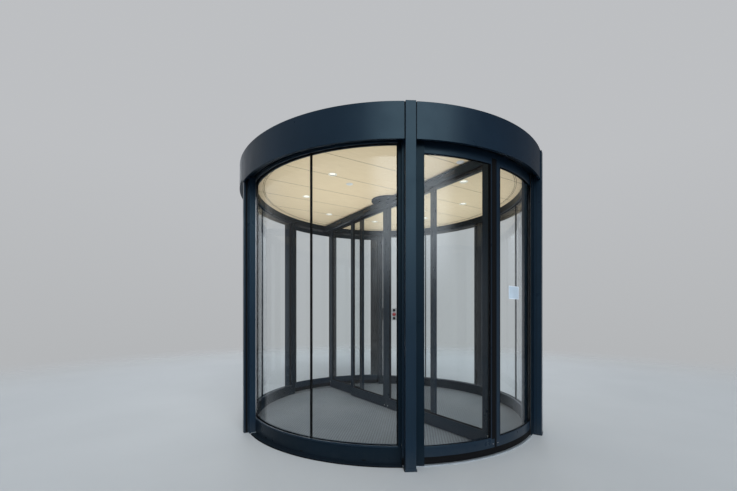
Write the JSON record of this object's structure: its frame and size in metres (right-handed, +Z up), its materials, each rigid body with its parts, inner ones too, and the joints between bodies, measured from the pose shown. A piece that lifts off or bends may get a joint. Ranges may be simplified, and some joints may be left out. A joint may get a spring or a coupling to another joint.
{
  "type": "two wing automatic revolving door",
  "caption": "Glazed drum entrance door with a two wing rotor, sliding middle leaves and curved closing doors on both sides.",
  "frame": {"origin": "on the finished floor, on the axis of the rotor", "axes": "+Z up, +X along the facade, to the right seen from outside, +Y into the building"},
  "size_m": [4, 3.9998, 3.215],
  "materials": {
    "frame_paint": "satin powder coat, blue black",
    "clear_glass": "clear float glass",
    "floor_metal": "satin anodised",
    "mat": "ribbed entrance matting",
    "ceiling_panel": "matt beige panel",
    "lamp_trim": "round recessed lamp",
    "bare_steel": "galvanised",
    "brush": "black sealing brush",
    "seal": "black glazing seal"
  },
  "bodies": {
    "drum": {"floor_ring": "floor_metal", "floor_mat": "mat", "post_front_left": "frame_paint", "post_front_right": "frame_paint", "post_back_right": "frame_paint", "post_back_left": "frame_paint", "door_jambs": "frame_paint", "plinth_left": "frame_paint", "plinth_right": "frame_paint", "head_ring": "frame_paint", "wall_end_stiles": "frame_paint", "glass_joint_strips": "seal", "wall_glass_left": "clear_glass", "wall_glass_right": "clear_glass", "facade_post_left": "frame_paint", "facade_post_right": "frame_paint", "fascia_front": "frame_paint", "fascia_right": "frame_paint", "fascia_left": "frame_paint", "fascia_inside": "frame_paint", "soffit_ring": "frame_paint", "roof_plate": "frame_paint", "ceiling": "ceiling_panel", "downlights": "lamp_trim", "drive_beam": "bare_steel"},
    "rotor": {"rotor_hub": "frame_paint", "rotor_header": "frame_paint", "wing_back_frame": "frame_paint", "wing_back_glass": "clear_glass", "wing_front_frame": "frame_paint", "wing_front_glass": "clear_glass", "wing_brushes": "brush"},
    "leaf_back": {"sliding_leaf_back_frame": "frame_paint", "sliding_leaf_back_glass": "clear_glass"},
    "leaf_front": {"sliding_leaf_front_frame": "frame_paint", "sliding_leaf_front_glass": "clear_glass"},
    "curved_front_left": {"curved_door_front_left_frame": "frame_paint", "curved_door_front_left_glass": "clear_glass"},
    "curved_front_right": {"curved_door_front_right_frame": "frame_paint", "curved_door_front_right_glass": "clear_glass"},
    "curved_back_right": {"curved_door_back_right_frame": "frame_paint", "curved_door_back_right_glass": "clear_glass"},
    "curved_back_left": {"curved_door_back_left_frame": "frame_paint", "curved_door_back_left_glass": "clear_glass"}
  },
  "joints": [
    {"name": "rotor_turn", "type": "hinge", "parent": "drum", "child": "rotor", "pos_m": [0, 0, 0], "axis": [0, 0, 1], "continuous": true},
    {"name": "leaf_back_slide", "type": "slide", "parent": "rotor", "child": "leaf_back", "axis": [-0.0785, 0.9969, 0], "range_m": [0, 0.8]},
    {"name": "leaf_front_slide", "type": "slide", "parent": "rotor", "child": "leaf_front", "axis": [0.0785, -0.9969, 0], "range_m": [0, 0.8]},
    {"name": "curved_front_right_turn", "type": "hinge", "parent": "drum", "child": "curved_front_right", "pos_m": [0, 0, 0], "axis": [0, 0, 1], "range_deg": [0, 24.5]},
    {"name": "curved_front_left_turn", "type": "hinge", "parent": "drum", "child": "curved_front_left", "pos_m": [0, 0, 0], "axis": [0, 0, -1], "range_deg": [0, 24.5]},
    {"name": "curved_back_left_turn", "type": "hinge", "parent": "drum", "child": "curved_back_left", "pos_m": [0, 0, 0], "axis": [0, 0, 1], "range_deg": [0, 24.5]},
    {"name": "curved_back_right_turn", "type": "hinge", "parent": "drum", "child": "curved_back_right", "pos_m": [0, 0, 0], "axis": [0, 0, -1], "range_deg": [0, 24.5]}
  ],
  "couplings": [
    {"joint": "leaf_front_slide", "follows": "leaf_back_slide", "ratio": 1},
    {"joint": "curved_front_left_turn", "follows": "curved_front_right_turn", "ratio": 1},
    {"joint": "curved_back_right_turn", "follows": "curved_back_left_turn", "ratio": 1}
  ]
}
